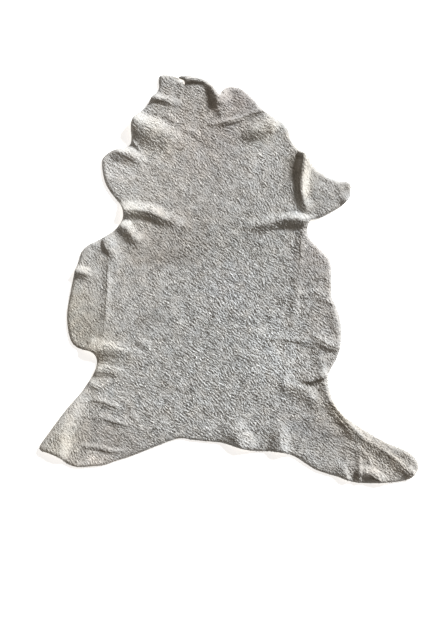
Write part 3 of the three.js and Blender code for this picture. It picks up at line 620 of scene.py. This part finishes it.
rim = evenly(edge, RIM_STEP)
if np.sum(rim[:, 0] * np.roll(rim[:, 1], -1) - rim[:, 1] * np.roll(rim[:, 0], -1)) < 0:
    rim = rim[::-1].copy()  # anticlockwise, so the inside is on the left
along = np.roll(rim, -1, 0) - np.roll(rim, 1, 0)
along /= np.linalg.norm(along, axis=1)[:, None]
inwards = np.stack([-along[:, 1], along[:, 0]], 1)
n_rim = len(rim)

top_loop = rim + inwards * RIM_INSET
flesh_loop = rim + inwards * 0.5
top, top_tri = face_of(top_loop, FACE_GAP, RIM_INSET + 0.6 * FACE_GAP)
flesh, flesh_tri = face_of(flesh_loop, FLESH_GAP, 0.5 + 0.6 * FLESH_GAP)


def raised(points, field):
    return np.column_stack([points, sample(field, points[:, 0], points[:, 1])])


skin_rim = raised(rim, lift + 0.45 * SKIN * stretch)
cut_rim = raised(rim + inwards * 0.15, skin_top)
hide_verts = np.vstack([raised(top, wool_base), raised(flesh, lift), skin_rim, cut_rim])
at_flesh = len(top)
at_rim = at_flesh + len(flesh)
at_cut = at_rim + n_rim
i = np.arange(n_rim)
j = (i + 1) % n_rim


def band(low, high):
    """The strip between two loops, facing out."""
    return np.vstack(
        [np.column_stack([low + i, low + j, high + j]), np.column_stack([low + i, high + j, high + i])]
    )


hide_tris = np.vstack(
    [
        top_tri,
        band(at_cut, 0),
        at_flesh + flesh_tri[:, ::-1],
        band(at_flesh, at_rim),
        band(at_rim, at_cut),
    ]
)
hide_me = make_mesh("hide", hide_verts * MM, hide_tris)
n_wool = len(top_tri) + 2 * n_rim
slots = np.zeros(len(hide_tris), np.int32)
slots[n_wool:] = 1
hide_me.polygons.foreach_set("material_index", slots)
hide_xy = hide_verts[:, :2]
hide_rgb = np.stack([sample(tint[..., k], hide_xy[:, 0], hide_xy[:, 1]) for k in range(3)], 1)
colour_points(hide_me, "tint", hide_rgb * UNDERWOOL_TONE)
hide = put("sheepskin_hide", hide_me)


# ---- the wool -------------------------------------------------------------------------------
def unit(v):
    return v / np.maximum(np.linalg.norm(v, axis=-1, keepdims=True), 1e-9)


roots = lattice(LOCK_GAP, 0.5)
roots = roots + rng.uniform(-0.3, 0.3, roots.shape) * LOCK_GAP
roots = roots[sample(to_edge, roots[:, 0], roots[:, 1]) > 0.3]
n = len(roots)
near_edge = np.clip(sample(to_edge, roots[:, 0], roots[:, 1]) / 14.0, 0, 1)
how_deep = sample(depth, roots[:, 0], roots[:, 1])
lay = sample(nap, roots[:, 0], roots[:, 1]) + rng.normal(0, LOCK_STRAY, n)
long = LOCK_LONG * rng.uniform(0.7, 1.3, n) * (0.62 + 0.38 * near_edge) * (0.68 + 0.3 * how_deep)
wide = LOCK_WIDE * rng.uniform(0.75, 1.25, n) * (0.75 + 0.25 * near_edge)
tall = LOCK_TALL * rng.uniform(0.8, 1.2, n) * (0.2 + 0.8 * how_deep) * (0.5 + 0.5 * near_edge)
rise = LOCK_RISE * rng.uniform(0.65, 1.3, n) * (0.6 + 0.4 * near_edge) * (0.2 + 0.8 * how_deep)
curl = rng.normal(0, 1.0, n)
phase = rng.uniform(0, 2 * np.pi, n)
roll = np.radians(LOCK_ROLL) * rng.standard_normal(n) * how_deep * (0.4 + 0.6 * near_edge)

# A lock that would hang over the cut edge is cut short.
for _ in range(2):
    tip = roots + np.stack([np.cos(lay), np.sin(lay)], 1) * long[:, None]
    out = sample(to_edge, tip[:, 0], tip[:, 1]) < -0.6
    long[out] *= 0.62

SECTIONS = (0.0, 0.32, 0.68)
WIDTHS = (0.62, 1.0, 0.86)
HEIGHTS = (-0.6, 0.6, 0.9)
TIP_HEIGHT = 0.2


def centre_line(s):
    """Points of all locks at the share s of their length, and the way they run there."""
    turn = lay + curl * 0.55 * (s - 0.4)
    ahead = np.stack([np.cos(turn), np.sin(turn)], 1)
    across = np.stack([-ahead[:, 1], ahead[:, 0]], 1)
    sway = 0.10 * long * np.sin(phase + 4.2 * s)
    return roots + ahead * (s * long)[:, None] + across * sway[:, None], ahead


def on_wool(xy, up):
    """xy raised over the underwool by up, along the surface's own normal."""
    gx, gy = sample(base_x, xy[:, 0], xy[:, 1]), sample(base_y, xy[:, 0], xy[:, 1])
    normal = unit(np.column_stack([-0.75 * gx, -0.75 * gy, np.ones(len(xy))]))
    z = sample(wool_base, xy[:, 0], xy[:, 1])
    return np.column_stack([xy, z]) + normal * up[:, None], normal


rings = []
for s, w, h in zip(SECTIONS, WIDTHS, HEIGHTS):
    xy, ahead = centre_line(s)
    spine, normal = on_wool(xy, h * rise)
    forward = unit(
        np.column_stack([ahead, np.zeros(n)])
        - normal * np.sum(np.column_stack([ahead, np.zeros(n)]) * normal, 1)[:, None]
    )
    across = np.cross(normal, forward)
    c, s_ = np.cos(roll)[:, None], np.sin(roll)[:, None]
    across, normal = across * c + normal * s_, normal * c - across * s_
    half = (0.5 * w * wide)[:, None]
    thick = (0.5 * w * tall)[:, None]
    rings.append(
        [
            spine + across * half - normal * thick,
            spine - across * half - normal * thick,
            spine + normal * thick,
        ]
    )
xy, _ = centre_line(1.0)
tip, _ = on_wool(xy, TIP_HEIGHT * rise)

verts = np.stack([*rings[0], *rings[1], *rings[2], tip], 1)  # n, 10, 3
one = [(0, 1, 2)]
for r in (0, 3):
    for k in range(3):
        a, b = r + k, r + (k + 1) % 3
        one += [(a, a + 3, b + 3), (a, b + 3, b)]
for k in range(3):
    one.append((6 + k, 9, 6 + (k + 1) % 3))
one = np.array(one)
# faces out: the signed volume of the first lock says which way they turn
q = verts[0]
volume = np.sum(np.einsum("ij,ij->i", q[one[:, 0]], np.cross(q[one[:, 1]], q[one[:, 2]])))
if volume < 0:
    one = one[:, ::-1]

own = 1 + LOCK_TONE * rng.standard_normal(n) * how_deep
own = own[:, None] * (1 + rng.normal(0, 0.012, n)[:, None] * np.array([0.5, 0, -0.6]))
lock_rgb = []
for s in (*SECTIONS, 1.0):
    xy, _ = centre_line(s)
    here = np.stack([sample(tint[..., k], xy[:, 0], xy[:, 1]) for k in range(3)], 1)
    lock_rgb += [here * own] * (3 if s < 1 else 1)
lock_rgb = np.stack(lock_rgb, 1)
along_tone = np.array([ROOT_TONE] * 3 + [0.5 + 0.5 * ROOT_TONE] * 3 + [1.0] * 3 + [TIP_TONE])



def sharpen(me):
    """The two lower edges of each lock stay sharp, so that its top is shaded on its own."""
    ends = np.empty(2 * len(me.edges), np.int32)
    me.edges.foreach_get("vertices", ends)
    ends = np.sort(ends.reshape(-1, 2) % 10, 1)
    lower = np.isin(ends[:, 0] * 10 + ends[:, 1], [3, 36, 69, 14, 47, 79])
    layer = me.attributes.new("sharp_edge", "BOOLEAN", "EDGE")
    layer.data.foreach_set("value", lower)


# The pieces take turns over the hide in bands, each a joined mesh.
order = np.argsort(roots[:, 1] + 0.001 * roots[:, 0])
wool = []
for k, part in enumerate(np.array_split(order, WOOL_PIECES)):
    v = verts[part].reshape(-1, 3) * MM
    t = (one[None] + 10 * np.arange(len(part))[:, None, None]).reshape(-1, 3)
    me = make_mesh("wool_%d" % (k + 1), v, t)
    sharpen(me)
    flat_map(me, v)
    rgb = (lock_rgb[part] * along_tone[None, :, None]).reshape(-1, 3)
    colour_points(me, "tint", np.clip(rgb, 0, 2))
    wool.append(put("sheepskin_wool_%d" % (k + 1), me))

print("hide tris", len(hide_tris), "locks", n, "wool tris", n * len(one))


# ---- materials ------------------------------------------------------------------------------
def material(name, roughness, sheen=0.0, specular=0.2):
    mat = bpy.data.materials.new(name)
    mat.use_nodes = True
    nodes, links = mat.node_tree.nodes, mat.node_tree.links
    shader = nodes["Principled BSDF"]
    shader.inputs["Roughness"].default_value = roughness
    shader.inputs["Specular IOR Level"].default_value = specular
    shader.inputs["Sheen Weight"].default_value = sheen
    shader.inputs["Sheen Roughness"].default_value = 0.6
    return mat, nodes, links, shader


def noise(nodes, links, scale, detail=3.0, rough=0.55, stretch=None, turn=0.0):
    """3-D noise in the piece's own metres, drawn out if stretch gives a scale along each axis."""
    place = nodes.new("ShaderNodeTexCoord")
    tex = nodes.new("ShaderNodeTexNoise")
    tex.inputs["Scale"].default_value = scale
    tex.inputs["Detail"].default_value = detail
    tex.inputs["Roughness"].default_value = rough
    if stretch:
        spin = nodes.new("ShaderNodeMapping")
        spin.vector_type = "TEXTURE"
        spin.inputs["Rotation"].default_value = (0, 0, math.radians(turn))
        spin.inputs["Scale"].default_value = stretch
        links.new(place.outputs["Object"], spin.inputs["Vector"])
        links.new(spin.outputs["Vector"], tex.inputs["Vector"])
    else:
        links.new(place.outputs["Object"], tex.inputs["Vector"])
    return tex.outputs["Fac"]


def ranged(nodes, links, value, low, high):
    """A 0 to 1 noise spread over low to high."""
    span = nodes.new("ShaderNodeMapRange")
    span.inputs["From Min"].default_value = 0.3
    span.inputs["From Max"].default_value = 0.7
    span.inputs["To Min"].default_value = low
    span.inputs["To Max"].default_value = high
    links.new(value, span.inputs["Value"])
    return span.outputs["Result"]


def times(nodes, links, colour, value):
    """A colour made lighter or darker by a value about 1."""
    by = nodes.new("ShaderNodeVectorMath")
    by.operation = "SCALE"
    links.new(colour, by.inputs[0])
    links.new(value, by.inputs["Scale"])
    return by.outputs["Vector"]


def product(nodes, links, colour, rgb):
    by = nodes.new("ShaderNodeVectorMath")
    by.operation = "MULTIPLY"
    links.new(colour, by.inputs[0])
    by.inputs[1].default_value = rgb
    return by.outputs["Vector"]


def wool_material(name, rgb, bump):
    mat, nodes, links, shader = material(name, 0.88, sheen=0.06, specular=0.12)
    tone = nodes.new("ShaderNodeVertexColor")
    tone.layer_name = "tint"
    colour = product(nodes, links, tone.outputs["Color"], rgb)
    fibres = noise(nodes, links, 520, 4.0, 0.6, stretch=(3.2, 1.0, 1.6), turn=-45)
    colour = times(nodes, links, colour, ranged(nodes, links, fibres, 0.86, 1.14))
    flecks = noise(nodes, links, 240, 2.0, 0.6, stretch=(2.2, 1.0, 1.0), turn=-45)
    colour = times(nodes, links, colour, ranged(nodes, links, flecks, 0.91, 1.09))
    links.new(colour, shader.inputs["Base Color"])
    dents = nodes.new("ShaderNodeBump")
    dents.inputs["Strength"].default_value = bump
    dents.inputs["Distance"].default_value = 0.0006
    links.new(fibres, dents.inputs["Height"])
    links.new(dents.outputs["Normal"], shader.inputs["Normal"])
    return mat


def skin_material():
    """The tanned flesh side and cut edge: pale, matt, a little mottled, with a fine nap."""
    mat, nodes, links, shader = material("flesh_side", 0.82, sheen=0.1, specular=0.15)
    base = nodes.new("ShaderNodeRGB")
    base.outputs[0].default_value = (*SKIN_RGB, 1)
    mottle = noise(nodes, links, 18, 5.0, 0.6)
    colour = times(nodes, links, base.outputs[0], ranged(nodes, links, mottle, 0.9, 1.08))
    pores = noise(nodes, links, 420, 3.0, 0.6)
    colour = times(nodes, links, colour, ranged(nodes, links, pores, 0.93, 1.05))
    links.new(colour, shader.inputs["Base Color"])
    dents = nodes.new("ShaderNodeBump")
    dents.inputs["Strength"].default_value = 0.5
    dents.inputs["Distance"].default_value = 0.0005
    links.new(pores, dents.inputs["Height"])
    links.new(dents.outputs["Normal"], shader.inputs["Normal"])
    return mat


lock_wool = wool_material("shorn_wool", WOOL_RGB, 0.35)
under_wool = wool_material("underwool", WOOL_RGB, 0.6)
hide.data.materials.append(under_wool)
hide.data.materials.append(skin_material())
for piece in wool:
    piece.data.materials.append(lock_wool)

for piece in [hide, *wool]:
    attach(piece, "root")
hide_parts("sheepskin")

# ---- floor, light and camera ----------------------------------------------------------------
bpy.ops.mesh.primitive_plane_add(size=40, location=(0, 0, -0.0002))
floor = bpy.context.object
floor.name = "floor"
paint, nodes, links, shader = material("pale_floor", 0.9, specular=0.1)
shader.inputs["Base Color"].default_value = (*FLOOR_RGB, 1)
shader.inputs["Emission Color"].default_value = (*FLOOR_RGB, 1)
shader.inputs["Emission Strength"].default_value = FLOOR_GLOW
floor.data.materials.append(paint)

world = bpy.data.worlds.new("studio")
world.use_nodes = True
world.node_tree.nodes["Background"].inputs["Color"].default_value = (*SKY_RGB, 1)
world.node_tree.nodes["Background"].inputs["Strength"].default_value = SKY
bpy.context.scene.world = world


def sun(name, azimuth, elevation, spread, strength, rgb):
    """A broad soft light from afar. Azimuth is anticlockwise from +X; spread is in degrees."""
    data = bpy.data.lights.new(name, "SUN")
    data.angle = math.radians(spread)
    data.energy = strength
    data.color = rgb
    ob = bpy.data.objects.new(name, data)
    a, e = math.radians(azimuth), math.radians(elevation)
    ob.location = (3 * math.cos(e) * math.cos(a), 3 * math.cos(e) * math.sin(a), 3 * math.sin(e))
    ob.rotation_euler = (0, math.pi / 2 - e, a)
    bpy.context.scene.collection.objects.link(ob)
    return ob


sun("window", *KEY)

eye = bpy.data.cameras.new("camera")
eye.lens = 54.86
eye.sensor_width = 36
camera = bpy.data.objects.new("camera", eye)
camera.location = (-0.04854, -0.09495, 2.505)
bpy.context.scene.collection.objects.link(camera)
bpy.context.scene.camera = camera
bpy.context.scene.view_settings.view_transform = "Standard"
